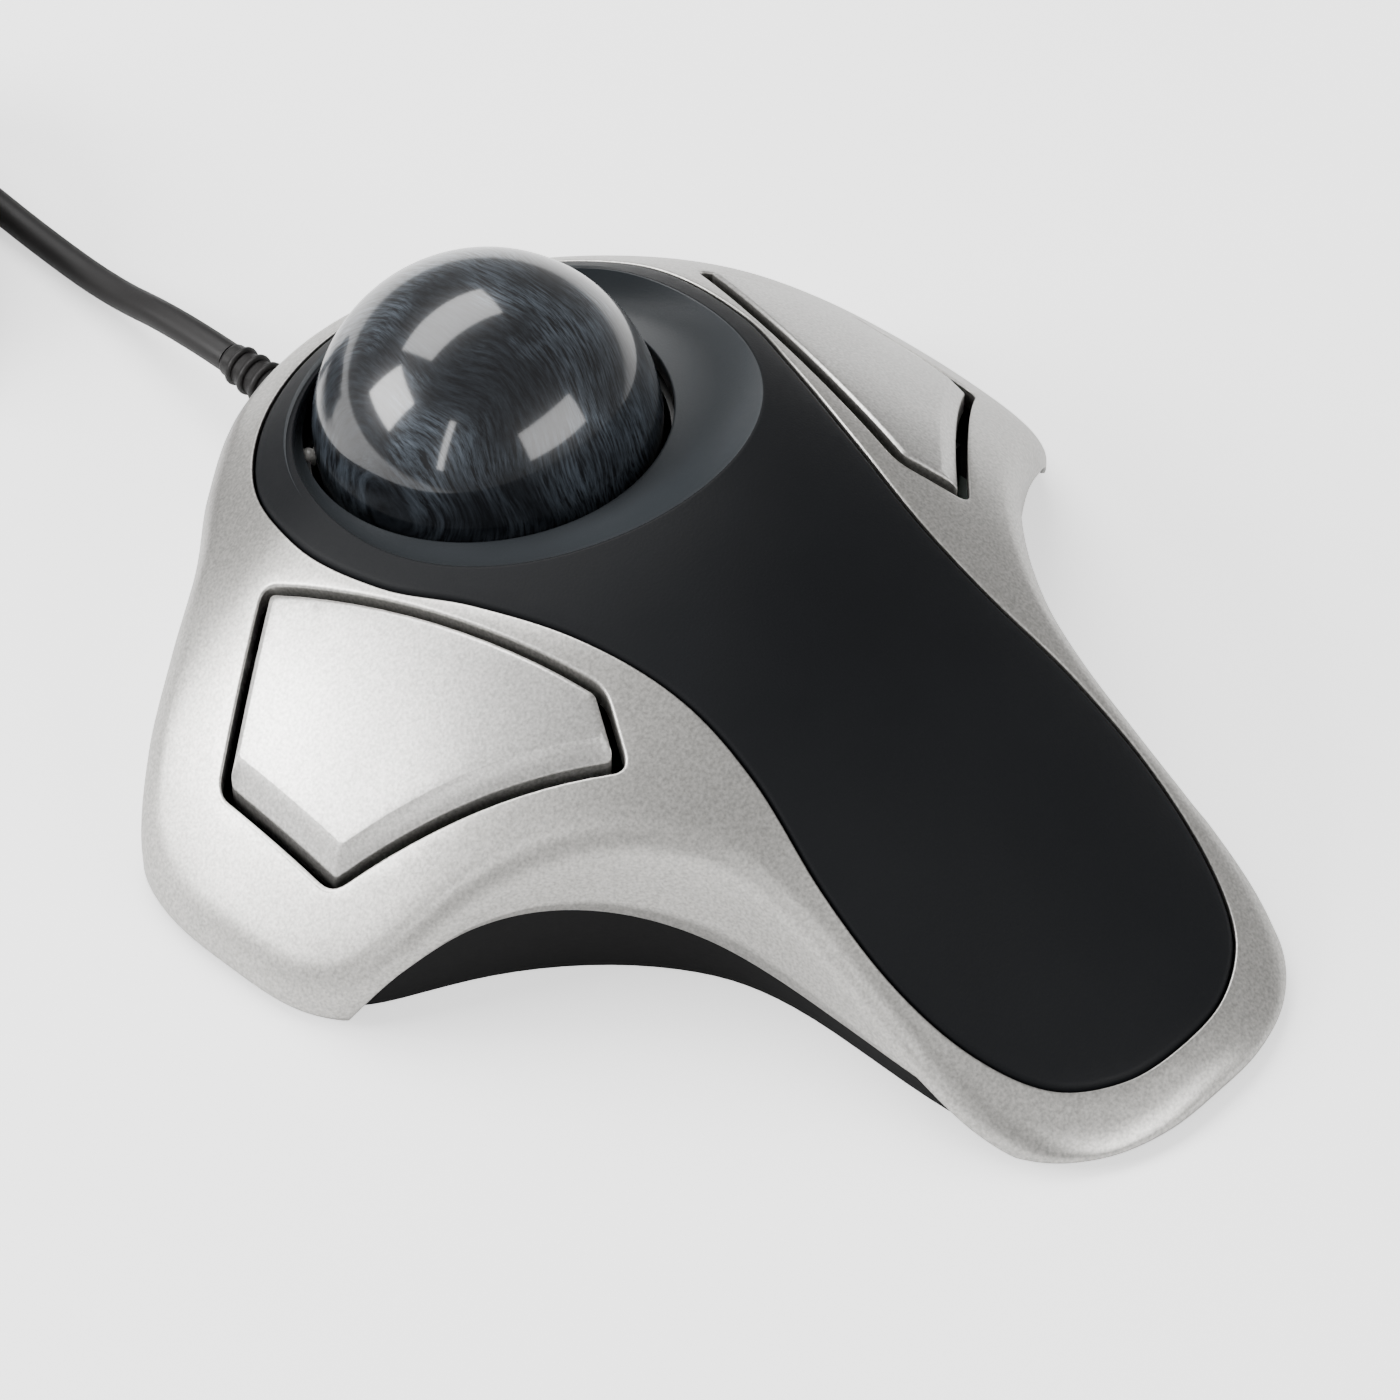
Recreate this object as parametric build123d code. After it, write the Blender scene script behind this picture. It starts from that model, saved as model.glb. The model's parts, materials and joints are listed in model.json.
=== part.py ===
"""Trackball mouse: a two-button desktop trackball with a corded USB plug.

X to the right, +Y away from the user, +Z up, millimetres. The origin is on the
desk, under the middle of the housing. Each piece is written to its own STEP file.
"""
from build123d import *
from math import cos, pi, radians, sin, tan
import os

# ------------------------------------------------------------ driving dimensions
BALL_RADIUS = 20.0            # a standard 40 mm ball
BALL_CORE_RADIUS = 18.9
BALL_Y, BALL_Z = 40.0, 27.6
BALL = Vector(0, BALL_Y, BALL_Z)

CROSS_CURVE = 0.0100          # the housing drops this much x squared to each side
WALL = 2.2                    # top shell
BASE_WALL = 2.0
BASE_GAP = 0.3                # between the shell's skirt and the base tray
LIP_Z = 1.2                   # lower edge of the shell
BASE_Z = 0.8                  # underside of the base; the feet reach z = 0
FLOOR_TOP = BASE_Z + BASE_WALL
BASE_WALL_TOP = 16.3
ARCH_X, ARCH_HALF, ARCH_TOP = 39.0, 19.0, 13.5

PANEL_GAP = 0.3
OPENING_RADIUS, OPENING_TILT = 21.2, 7.0
OPENING_RISE = 0.9            # of the opening's plane above the ball's middle
DISH_RADIUS, DISH_TILT = 27.2, 13.0
DISH_SHIFT, DISH_RISE = 6.2, 5.4
DISH_BULGE, DISH_WALL = 0.9, 2.0

BUTTON_GAP = 1.3
BUTTON_PROUD = 0.7
BUTTON_THICK = 2.4
PIN_RADIUS, PIN_CLEARANCE = 0.8, 0.05

CORD_RADIUS = 1.9
SIDES = {"left": -1, "right": 1}

os.makedirs("parts", exist_ok=True)
written = []


def save(name, shape):
    """Write one piece to its own STEP file."""
    solids = shape.solids() if hasattr(shape, "solids") else ShapeList(shape)
    piece = solids[0] if len(solids) == 1 else Compound(children=list(solids))
    piece.label = name
    export_step(piece, f"parts/{name}.step")
    written.append(name)


# ------------------------------------------------------------ the housing's surface
SPINE = [(-80, -3.0), (-64, 6.2), (-50, 14.2), (-36, 22.5), (-22, 30.2), (-9, 36.0), (3, 39.5),
         (17, 41.0), (31, 40.6), (42, 38.8), (50, 35.2), (60, 29.0), (80, 14.0)]


def spine_height(y):
    """Height of the crest at x = 0: a smooth curve through SPINE (Catmull-Rom)."""
    k = max(i for i in range(len(SPINE) - 1) if y >= SPINE[i][0] or i == 0)
    (y1, z1), (y2, z2) = SPINE[k], SPINE[k + 1]
    y0, z0 = SPINE[k - 1] if k > 0 else (2 * y1 - y2, 2 * z1 - z2)
    y3, z3 = SPINE[k + 2] if k + 2 < len(SPINE) else (2 * y2 - y1, 2 * z2 - z1)
    m1, m2 = (z2 - z0) / (y2 - y0), (z3 - z1) / (y3 - y1)
    h = y2 - y1
    t = min(max((y - y1) / h, 0), 1)
    return ((2 * t**3 - 3 * t**2 + 1) * z1 + (t**3 - 2 * t**2 + t) * h * m1
            + (3 * t**2 - 2 * t**3) * z2 + (t**3 - t**2) * h * m2)


def height(x, y):
    """Height of the housing's top surface."""
    return spine_height(y) - CROSS_CURVE * x * x


GRID_X = [-66 + 16.5 * i for i in range(9)]       # places the surface is fitted through
GRID_Y = [-76 + 8 * i for i in range(20)]
ABOVE_ALL, BELOW_ALL = 60, 90                     # cutting blocks reach past the housing


def under(offset):
    """The space below the top surface moved by offset."""
    rows = [[Vector(x, y, height(x, y) + offset) for x in GRID_X] for y in GRID_Y]
    skin = Face.make_surface_from_array_of_points(rows, tol=0.05, min_deg=3, max_deg=6)
    return Solid.extrude(skin, Vector(0, 0, -BELOW_ALL))


def mirrored(half_points):
    """A closed face from the right half of an outline, which starts and ends at x = 0."""
    other_half = [(-x, y) for x, y in reversed(half_points[1:-1])]
    return make_face(Spline(*half_points, *other_half, periodic=True))


def block(face, low, high):
    """A flat face made into a block from low to high."""
    return extrude(Pos(0, 0, low) * face, high - low)


# right half of the housing seen from above, from the far nose to the palm end
OUTLINE = [(0, 70), (14, 67.3), (25.5, 60), (34, 53), (43, 48), (51, 43.5), (58, 37.5), (60.8, 30),
           (61.2, 20), (60.4, 11), (57.5, 5.2), (52.3, 1.4), (45.3, -2.3), (39.4, -6.3),
           (34, -11.2), (29.6, -16.6), (26.5, -22.3), (24.9, -29), (24.4, -38), (24.2, -47),
           (23, -56), (20, -62.7), (14.5, -67.3), (7.5, -69.6), (0, -70)]
# right half of the opening that the soft centre panel fills
PANEL = [(0, 64.7), (14, 61.2), (25, 52.2), (29.9, 40), (29.2, 27.4), (25.5, 16.8), (21.4, 4),
         (18.8, -8.5), (18.9, -19), (20.9, -31), (21.2, -42), (19.2, -52), (15, -59.6),
         (8, -63.9), (0, -65)]


def inset(points, distance):
    """A closed face whose edge lies distance inside the outline through points."""
    moved = [(0, points[0][1] - distance)]
    for (x0, y0), (x, y), (x1, y1) in zip(points, points[1:], points[2:]):
        along = Vector(x1 - x0, y1 - y0).normalized()
        moved.append((x + along.Y * distance, y - along.X * distance))
    return mirrored(moved + [(0, points[-1][1] + distance)])


outline, panel_outline = mirrored(OUTLINE), mirrored(PANEL)


# ------------------------------------------------------------ the dish and the ball's axis
opening_plane = Plane(BALL + Vector(0, 0, OPENING_RISE), x_dir=(1, 0, 0),
                      z_dir=(0, sin(radians(OPENING_TILT)), cos(radians(OPENING_TILT))))


def dish(grow):
    """The concave dish round the ball, as a lofted plug; grow makes it the dish's outside."""
    sections = []
    for share, bulge in ((0.0, 0.0), (0.5, DISH_BULGE), (1.0, 0.0)):
        tilt = radians(OPENING_TILT + share * (DISH_TILT - OPENING_TILT))
        centre = BALL + Vector(0, -DISH_SHIFT * share, OPENING_RISE + DISH_RISE * share - grow)
        radius = OPENING_RADIUS + share * (DISH_RADIUS - OPENING_RADIUS) + bulge + grow
        ring_plane = Plane(centre, x_dir=(1, 0, 0), z_dir=(0, sin(tilt), cos(tilt)))
        sections.append(ring_plane * Circle(radius))
    return loft(sections) + extrude(sections[-1], ABOVE_ALL / 2, dir=(0, 0, 1))


def ball_hole(radius, depth):
    """A straight hole down the ball's axis, from the opening's plane."""
    return opening_plane * Pos(0, 0, 1 - depth / 2) * Cylinder(radius, depth + 2)


# ------------------------------------------------------------ the button windows
WINDOW_CORNER = 1.0


def window(side, gap):
    """One button's pentagon seen from above, gap inside the window's edge."""
    a, b, c, d, e = (34.6, 40.6), (23.4, -1.2), (27.4, -8.6), (52.6, 12.2), (51.7, 31.0)
    edges = [ThreePointArc(a, (28.2, 19.8), b), Line(b, c),
             ThreePointArc(c, (39.7, 2.4), d), Line(d, e), Line(e, a)]
    face = make_face(Curve() + edges)
    if gap:
        face = offset(face, -gap, kind=Kind.INTERSECTION)
    face = fillet(face.vertices(), WINDOW_CORNER)
    return face if side > 0 else mirror(face, Plane.YZ)

# ------------------------------------------------------------ top shell
EXIT_Y, EXIT_Z = 68.0, 8.0
EXIT_HOLE = 3.3
HINGE_DROP = 4.6              # of the pins below the housing's surface
PIN_ENDS = [(39.4, 43.6), (25.8, -13.5)]
LUG_SHARES = (0.24, 0.68)     # places of the button's two lugs along its pin


def pin_point(side, share):
    """A point of one button's hinge axis; share runs from the far end to the near end."""
    (x0, y0), (x1, y1) = PIN_ENDS
    z0, z1 = (height(x, y) - HINGE_DROP for x, y in PIN_ENDS)
    return Vector(side * (x0 + (x1 - x0) * share), y0 + (y1 - y0) * share,
                  z0 + (z1 - z0) * share)


def along_pin(side, start, end, radius):
    """A round bar on the hinge axis between two shares of its length."""
    a, b = pin_point(side, start), pin_point(side, end)
    return extrude(Plane(a, z_dir=(b - a).normalized()) * Circle(radius), (b - a).length)


arch_line = [ThreePointArc((ARCH_X - ARCH_HALF, 0), (ARCH_X, ARCH_TOP), (ARCH_X + ARCH_HALF, 0)),
             Line((ARCH_X + ARCH_HALF, 0), (ARCH_X - ARCH_HALF, 0))]
arch_cut = Pos(0, -10, 0) * extrude(Plane.XZ * make_face(Curve() + arch_line), 20, both=True)
exit_hole = Pos(0, EXIT_Y, EXIT_Z) * Rot(90, 0, 0) * Cylinder(EXIT_HOLE, 16)

ring = outline - panel_outline
for side in SIDES.values():
    ring -= window(side, 0)
top_shell = block(ring, LIP_Z, ABOVE_ALL) & under(0)
top_shell -= block(inset(OUTLINE, WALL), 0, ABOVE_ALL) & under(-WALL)
for tool in (arch_cut, mirror(arch_cut, Plane.YZ), exit_hole):
    top_shell -= tool

FAR_SCREWS = [(-31.5, 47.5), (31.5, 47.5)]
PALM_SCREWS = [(-12, -50), (12, -50)]
BOSS_RADIUS, SCREW_HOLE, SCREW_HOLE_TOP = 2.4, 1.1, 11.0
BOSS_GAP = 0.2                # between a boss and the base
STUD_RADIUS, STUD_LOW, STUD_HIGH = 1.6, 3.5, 1.2    # joins a far boss to the skin above it
EAR_SIZE, EAR_RAISE = (4.4, 2.6, 5.6), 1.2
EAR_SHARES = (0.0, 0.98)      # places of the shell's two ears along a hinge pin


def upright(x, y, low, high, radius):
    """An upright cylinder at x, y from low to high."""
    return Pos(x, y, (low + high) / 2) * Cylinder(radius, high - low)


def screw_boss(x, y, skin_drop):
    """A screw boss that hangs from a shell down to the base."""
    top = height(x, y) - skin_drop
    boss = upright(x, y, FLOOR_TOP + BOSS_GAP, top, BOSS_RADIUS)
    return boss - upright(x, y, 0, SCREW_HOLE_TOP, SCREW_HOLE)


for x, y in FAR_SCREWS:
    skin_z = height(x, y)
    top_shell += screw_boss(x, y, WALL + 0.4)
    top_shell += upright(x, y, skin_z - STUD_LOW, skin_z - STUD_HIGH, STUD_RADIUS)
for side in SIDES.values():
    for share in EAR_SHARES:
        ear = pin_point(side, share)
        ear_block = Pos(ear.X, ear.Y, ear.Z + EAR_RAISE) * Box(*EAR_SIZE)
        top_shell += ear_block & under(-1.0)
    top_shell -= along_pin(side, -0.03, 1.01, PIN_RADIUS)

# ------------------------------------------------------------ base tray
FEET = {"left_foot": (-50, 23, 9, 15), "right_foot": (50, 23, 9, 15),
        "far_foot": (0, 57, 22, 7), "palm_foot": (0, -58, 24, 7)}
FOOT_THICK, FOOT_CORNER, FOOT_GAP = 1.4, 3.0, 0.1
POST_RADIUS, POST_HOLE = 2.5, 0.8
CUP_POST_TOP, CUP_POST_RADIUS, CUP_POST_HOLE = 4.95, 5.0, 2.0
HEAD_POCKET_RADIUS, HEAD_POCKET_DEEP, SHANK_HOLE = 2.6, 1.0, 1.4
BOARD_Z, BOARD_THICK = 4.2, 1.6
BOARD_POSTS = [(-36, 8), (36, 8), (-36, 20), (36, 20)]

base_plate = block(inset(OUTLINE, WALL + BASE_GAP), BASE_Z, BASE_WALL_TOP)
base_plate &= under(-WALL - BASE_GAP - 0.2)
base_plate -= block(inset(OUTLINE, WALL + BASE_GAP + BASE_WALL), FLOOR_TOP, ABOVE_ALL)
base_plate -= exit_hole
for x, y, width, depth in FEET.values():
    pocket = Pos(x, y) * RectangleRounded(width + 2 * FOOT_GAP, depth + 2 * FOOT_GAP,
                                          FOOT_CORNER + FOOT_GAP)
    base_plate -= block(pocket, 0, FOOT_THICK)
for x, y in FAR_SCREWS + PALM_SCREWS:
    base_plate -= upright(x, y, FLOOR_TOP, ABOVE_ALL, BOSS_RADIUS + 2 * BOSS_GAP)
    base_plate -= upright(x, y, 0, FLOOR_TOP + 1, SHANK_HOLE)
    base_plate -= upright(x, y, 0, BASE_Z + HEAD_POCKET_DEEP, HEAD_POCKET_RADIUS)
for x, y in BOARD_POSTS:
    base_plate += (upright(x, y, FLOOR_TOP - 0.2, BOARD_Z, POST_RADIUS)
                   - upright(x, y, 1.6, BOARD_Z + 1, POST_HOLE))
base_plate += (upright(0, BALL_Y, FLOOR_TOP - 0.2, CUP_POST_TOP, CUP_POST_RADIUS)
               - upright(0, BALL_Y, 0, CUP_POST_TOP + 1, CUP_POST_HOLE))

# ------------------------------------------------------------ centre panel with its dish
PANEL_LOW, PANEL_DROP = 4.0, 0.1          # the panel lies just below the silver round it
slab = block(inset(PANEL, PANEL_GAP), PANEL_LOW, ABOVE_ALL) & under(-PANEL_DROP)
center_panel = slab - under(-PANEL_DROP - WALL)
center_panel += dish(DISH_WALL) & slab
center_panel -= dish(0)
center_panel -= ball_hole(OPENING_RADIUS, 12)
for x, y in PALM_SCREWS:
    center_panel += screw_boss(x, y, PANEL_DROP + WALL / 2)

# ------------------------------------------------------------ ball, cup and bearings
CUP_INNER, CUP_OUTER = 20.8, 22.6
CUP_RIM_DROP = 3.6                                  # of the cup's rim below the opening
COAT_GAP = 0.1
BEARING_RADIUS = 1.25
BEARINGS = [(45, -14), (135, -14), (270, -14)]      # bearing directions: around, up
SENSOR_TILT = -35.0
toward_sensor = Vector(0, -cos(radians(SENSOR_TILT)), sin(radians(SENSOR_TILT)))


def sensor_part(sketch, start, end):
    """A piece on the line from the ball's centre to the sensor, between two distances."""
    plane = Plane(BALL + toward_sensor * start, x_dir=(1, 0, 0), z_dir=toward_sensor)
    return extrude(plane * sketch, end - start)


ball_coat = Pos(BALL) * (Sphere(BALL_RADIUS) - Sphere(BALL_CORE_RADIUS + COAT_GAP))
ball_core = Pos(BALL) * Sphere(BALL_CORE_RADIUS)
ball_cup = Pos(BALL) * (Sphere(CUP_OUTER) - Sphere(CUP_INNER))
ball_cup -= opening_plane * Pos(0, 0, CUP_OUTER - CUP_RIM_DROP) * Box(60, 60, 2 * CUP_OUTER)
ball_cup -= sensor_part(Circle(3.3), 15, 30)
bearings, sockets = [], []
for around, up in BEARINGS:
    direction = Vector(cos(radians(around)) * cos(radians(up)),
                       sin(radians(around)) * cos(radians(up)), sin(radians(up)))
    bearings.append(Pos(BALL + direction * (BALL_RADIUS + BEARING_RADIUS + 0.05))
                    * Sphere(BEARING_RADIUS))
    bottom = Plane(BALL + direction * (CUP_OUTER + 1.6), z_dir=-direction)
    ball_cup += extrude(bottom * Circle(BEARING_RADIUS + 1.1), 2.6)
    sockets.append(extrude(bottom * Pos(0, 0, 1.4) * Circle(BEARING_RADIUS + 0.05), 4))
for socket in sockets:
    ball_cup -= socket

# ------------------------------------------------------------ boards and electronics
BOARD_Y, BOARD_SIZE, BOARD_HOLE = 15, (94, 18), 1.0
main_board = Pos(0, BOARD_Y) * block(Rectangle(*BOARD_SIZE), BOARD_Z, BOARD_Z + BOARD_THICK)
for x, y in BOARD_POSTS:
    main_board -= upright(x, y, 0, BOARD_Z + 2 * BOARD_THICK, BOARD_HOLE)
board_top = BOARD_Z + BOARD_THICK


def on_board(x, y, width, depth, tall):
    """A rectangular component standing on the main board."""
    return Pos(x, y, board_top + tall / 2) * Box(width, depth, tall)


def screw(x, y, low, head_radius, head_tall, shank_radius, shank_long, up):
    """A pan-head screw; up is 1 when the head is at the bottom, -1 when it is on top."""
    head = upright(x, y, *sorted((low, low + up * head_tall)), head_radius)
    tip = low + up * (head_tall + shank_long)
    return head + upright(x, y, *sorted((low + up * head_tall, tip)), shank_radius)


save("top_shell", top_shell)
save("center_panel", center_panel)
save("base_plate", base_plate)
for name, (x, y, width, depth) in FEET.items():
    save(name, Pos(x, y) * block(RectangleRounded(width, depth, FOOT_CORNER), 0, FOOT_THICK))
save("case_screws", [screw(x, y, BASE_Z + 0.1, 2.4, 0.9, 1.05, 6.5, 1)
                     for x, y in FAR_SCREWS + PALM_SCREWS])
save("board_screws", [screw(x, y, board_top + 1.0, 1.8, 1.0, 0.75, 2.9, -1)
                      for x, y in BOARD_POSTS])
save("ball_coat", ball_coat)
save("ball_core", ball_core)
save("ball_cup", ball_cup)
save("bearing_balls", bearings)
save("main_board", main_board)
save("controller_chip", on_board(-12, 14, 7, 7, 1.1))
save("crystal", on_board(-22, 14, 3.4, 8.6, 1.8))
save("capacitor", upright(10, 8.5, board_top, board_top + 4.5, 2.0))
save("board_connector", on_board(20, 16, 10, 5, 4.2))
save("sensor_lens", sensor_part(Circle(3.0), 20.9, 23.9))
save("sensor_chip", sensor_part(Rectangle(9, 9), 24.0, 25.7))
save("sensor_board", sensor_part(Rectangle(18, 9.4), 25.8, 27.0))
save("sensor_led", sensor_part(Pos(6.6, 0) * Circle(1.4), 23.2, 25.7))

# ------------------------------------------------------------ buttons, pins and switches
SWITCH_X, SWITCH_Y = 43.0, 15.0
SWITCH_SIZE = (5.8, 12.8, 6.4)
PLUNGER_RADIUS, PLUNGER_TOP = 1.2, 1.0
PLUNGER_HOLE_DEEP, PLUNGER_SUNK, PLUNGER_GAP = 2.0, 1.4, 0.1
STEM_RADIUS, STEM_GAP = 1.7, 0.08
LUG_SIZE, LUG_RAISE = (4.0, 3.0, 11.0), 3.4
switch_top = board_top + SWITCH_SIZE[2]

for name, side in SIDES.items():
    cap = block(window(side, BUTTON_GAP), PANEL_LOW, ABOVE_ALL) & under(BUTTON_PROUD)
    cap -= under(BUTTON_PROUD - BUTTON_THICK)
    for share in LUG_SHARES:
        lug = pin_point(side, share)
        cap += (Pos(lug.X, lug.Y, lug.Z + LUG_RAISE) * Box(*LUG_SIZE)) & under(-0.4)
    stem_x = side * SWITCH_X
    stem_base = switch_top + PLUNGER_TOP + STEM_GAP
    cap += upright(stem_x, SWITCH_Y, stem_base, height(stem_x, SWITCH_Y) - 1.0, STEM_RADIUS)
    cap -= along_pin(side, -0.05, 1.05, PIN_RADIUS + PIN_CLEARANCE)
    save(f"{name}_button", cap)
    save(f"{name}_hinge_pin", along_pin(side, -0.02, 1.0, PIN_RADIUS))
    body = on_board(stem_x, SWITCH_Y, *SWITCH_SIZE)
    body -= upright(stem_x, SWITCH_Y, switch_top - PLUNGER_HOLE_DEEP, switch_top + 1,
                    PLUNGER_RADIUS + PLUNGER_GAP)
    save(f"{name}_switch_body", body)
    save(f"{name}_switch_plunger", upright(stem_x, SWITCH_Y, switch_top - PLUNGER_SUNK,
                                           switch_top + PLUNGER_TOP, PLUNGER_RADIUS))

# ------------------------------------------------------------ strain relief and cord
RELIEF_END = 84.0
relief = Plane.YZ * make_face(Polyline((62.2, 8), (62.2, 12.2), (64.8, 12.2), (64.8, 11.2),
                                       (70.4, 11.2), (RELIEF_END, 10.3), (RELIEF_END, 8),
                                       close=True))
strain_relief = revolve(relief, Axis((0, 0, EXIT_Z), (0, 1, 0)))

COIL_X, COIL_Y = -24.2, 146.0
COIL_INNER, COIL_OUTER = 15.3, 26.7       # middle of the innermost and outermost turns
COIL_LAYERS, TURNS_A_LAYER = 4, 3
LAYER_Z = 2.75                            # middle of the lowest layer
coil_low = LAYER_Z - CORD_RADIUS
coil_high = LAYER_Z + (2 * COIL_LAYERS - 1) * CORD_RADIUS
coil_spot = Pos(COIL_X, COIL_Y, 0)
LEAD = [(0, RELIEF_END, EXIT_Z), (0.3, 94, 7.2), (1.4, 107, 2.8), (2.2, 122, 1.95),
        (3.0, 135, 2.1), (2.5, 147, LAYER_Z)]
TAIL = [(26.7, -5.5, 14.15), (26.7, 5.5, 15.6), (19.6, 14, 19.2), (8.7, 15.95, 20.2),
        (-0.9, 10.6, 20.2)]


def cord_tube(name, points):
    """A round cord along straight runs that tangent arcs join; prints its smallest bends."""
    corners = [Vector(*p) for p in points]
    radii = []
    for a, b, c in zip(corners, corners[1:], corners[2:]):
        turn = radians((b - a).get_angle(c - b))
        radii.append(0.45 * min((b - a).length, (c - b).length) / tan(turn / 2))
    path = FilletPolyline(*corners, radius=radii)
    tube = sweep(Plane(path @ 0, z_dir=path % 0) * Circle(CORD_RADIUS), path)
    section = pi * CORD_RADIUS ** 2
    print(name, "radii", [round(r, 1) for r in radii], "volume", round(tube.volume, 1),
          "section x length", round(section * path.length, 1), "length", round(path.length, 1))
    return tube


def ring_block(inner, outer, low, high):
    """An upright ring."""
    return upright(0, 0, low, high, outer) - upright(0, 0, low - 1, high + 1, inner)


coil = coil_spot * ring_block(COIL_INNER - CORD_RADIUS, COIL_OUTER + CORD_RADIUS,
                              coil_low, coil_high)
TIE_THICK, TIE_WIDTH, TIE_ANGLE = 0.8, 3.2, 250.0
bundle_wide = COIL_OUTER - COIL_INNER + 2 * CORD_RADIUS
tie_middle = (COIL_OUTER + COIL_INNER) / 2
tie_outside = Box(bundle_wide + 2 * TIE_THICK + 0.5, TIE_WIDTH,
                  coil_high - coil_low + 2 * TIE_THICK)
tie_inside = Box(bundle_wide + 0.5, TIE_WIDTH + 2, coil_high - coil_low)
cable_tie = (coil_spot * Rot(0, 0, TIE_ANGLE) * Pos(tie_middle, 0, (coil_low + coil_high) / 2)
             * (tie_outside - tie_inside))

PLUG_BODY = (18.0, 15.0, 8.0)
PLUG_SHELL = (12.0, 12.0, 4.5)
PLUG_WALL, PLUG_CORNER = 0.4, 2.0
TONGUE_LONG, TONGUE_THICK, TONGUE_RAISE = 10.8, 1.7, 0.8
plug_turn = Rot(0, 0, 209.3)
plug_spot = Pos(COIL_X + TAIL[-1][0], COIL_Y + TAIL[-1][1], TAIL[-1][2]) * plug_turn


def plug_box(start, size):
    """A block of the plug that starts at a distance from the plug's rear."""
    return plug_spot * Pos(start + size[0] / 2, 0, 0) * Box(*size)


shell_inside = tuple(s - 2 * PLUG_WALL for s in PLUG_SHELL[1:])
plug_body = plug_box(0, PLUG_BODY)
plug_body = fillet(plug_body.edges().filter_by(Axis.Z), PLUG_CORNER)
plug_shell = plug_box(PLUG_BODY[0], PLUG_SHELL)
plug_shell -= plug_box(PLUG_BODY[0], (PLUG_SHELL[0] + 1, *shell_inside))
plug_tongue = (plug_spot * Pos(PLUG_BODY[0] + TONGUE_LONG / 2, 0, TONGUE_RAISE)
               * Box(TONGUE_LONG, shell_inside[0] - 0.4, TONGUE_THICK))

tail_points = [(COIL_X + x, COIL_Y + y, z) for x, y, z in TAIL]
save("strain_relief", strain_relief)
save("cord_lead", cord_tube("lead", LEAD) - coil - strain_relief)
save("cord_coil", coil)
tail_above = (cord_tube("tail", tail_points) - coil - plug_body).solids()
save("cord_tail", tail_above.sort_by(SortBy.VOLUME)[-1])
save("cable_tie", cable_tie)
save("plug_body", plug_body)
save("plug_shell", plug_shell)
save("plug_tongue", plug_tongue)

for name, side in SIDES.items():
    far, near = pin_point(side, 0), pin_point(side, 1)
    print(name, "hinge through", far, "direction", (near - far).normalized())
print(len(written), "pieces")
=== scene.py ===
# %% [markdown]
# Trackball mouse. A desktop trackball stands on a pale table: a silver painted
# housing with two sloped wings, a soft black palm panel that dips into a dish,
# a streaked pearl ball, one rocking button on each wing, and a corded USB plug.
# The engineering model is loaded first as a fixed frame, and every part made
# here sits exactly where that frame has it. All lengths are in metres.

# %% Load the frame
import bpy, bmesh, json
from math import cos, pi, radians, sin, sqrt
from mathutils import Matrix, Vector
from mathutils.geometry import delaunay_2d_cdt


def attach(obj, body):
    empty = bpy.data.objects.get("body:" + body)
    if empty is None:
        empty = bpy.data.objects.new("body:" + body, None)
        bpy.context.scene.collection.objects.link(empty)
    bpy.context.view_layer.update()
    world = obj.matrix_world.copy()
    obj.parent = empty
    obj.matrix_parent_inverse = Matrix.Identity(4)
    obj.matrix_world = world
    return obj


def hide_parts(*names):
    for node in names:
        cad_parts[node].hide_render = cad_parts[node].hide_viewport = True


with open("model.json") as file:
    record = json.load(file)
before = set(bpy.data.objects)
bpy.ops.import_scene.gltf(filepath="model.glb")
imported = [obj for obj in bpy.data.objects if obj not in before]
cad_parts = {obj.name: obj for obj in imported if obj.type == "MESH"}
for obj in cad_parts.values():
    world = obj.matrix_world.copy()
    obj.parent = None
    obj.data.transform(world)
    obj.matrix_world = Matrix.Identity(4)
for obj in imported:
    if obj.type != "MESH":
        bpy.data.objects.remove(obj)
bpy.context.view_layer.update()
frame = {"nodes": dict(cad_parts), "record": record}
MM = 0.001
nodes = frame["nodes"]

# %% [markdown]
# The camera stands to the user's left, looking down at the mouse from half-way
# up. A long lens keeps the two wings nearly the same size.

# %% Camera
CAMERA_TURN, CAMERA_RISE, CAMERA_DISTANCE = radians(-46.5), radians(47.9), 0.690
CAMERA_LENS, SENSOR_WIDTH = 154.3, 36.0
LOOK_AT = Vector((4.6, 11.3, -1.0)) * MM
direction = Vector((sin(CAMERA_TURN) * cos(CAMERA_RISE), -cos(CAMERA_TURN) * cos(CAMERA_RISE),
                    sin(CAMERA_RISE)))
camera = bpy.data.objects.new("camera", bpy.data.cameras.new("camera"))
bpy.context.scene.collection.objects.link(camera)
camera.data.lens, camera.data.sensor_width = CAMERA_LENS, SENSOR_WIDTH
camera.location = LOOK_AT + direction * CAMERA_DISTANCE
camera.rotation_euler = direction.to_track_quat("Z", "Y").to_euler()
bpy.context.scene.camera = camera
print("camera", CAMERA_DISTANCE, "m away, lens", CAMERA_LENS)

# %% [markdown]
# Every finish is a node material on a Principled shader. A small helper makes
# one: the base colour varies a little over one noise size, the roughness
# varies with it, and a fine bump from a finer noise gives the grain. Coordinates
# are the object's own, so the pattern stays on the part when it moves.

# %% Materials: the helper
def finish_nodes(name, **sockets):
    """A new material with sockets set on its Principled shader: (material, tree, shader)."""
    material = bpy.data.materials.new(name)
    material.use_nodes = True
    tree = material.node_tree
    shader = tree.nodes["Principled BSDF"]
    for socket, value in sockets.items():
        shader.inputs[socket.replace("_", " ")].default_value = value
    return material, tree, shader


def add(tree, kind, links=(), **settings):
    """A node of a kind, with its inputs set or linked by name."""
    node = tree.nodes.new(kind)
    for key, value in settings.items():
        if hasattr(node, key):
            setattr(node, key, value)
        else:
            node.inputs[key.replace("_", " ")].default_value = value
    for key, source in links:
        tree.links.new(source, node.inputs[key])
    return node


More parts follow.
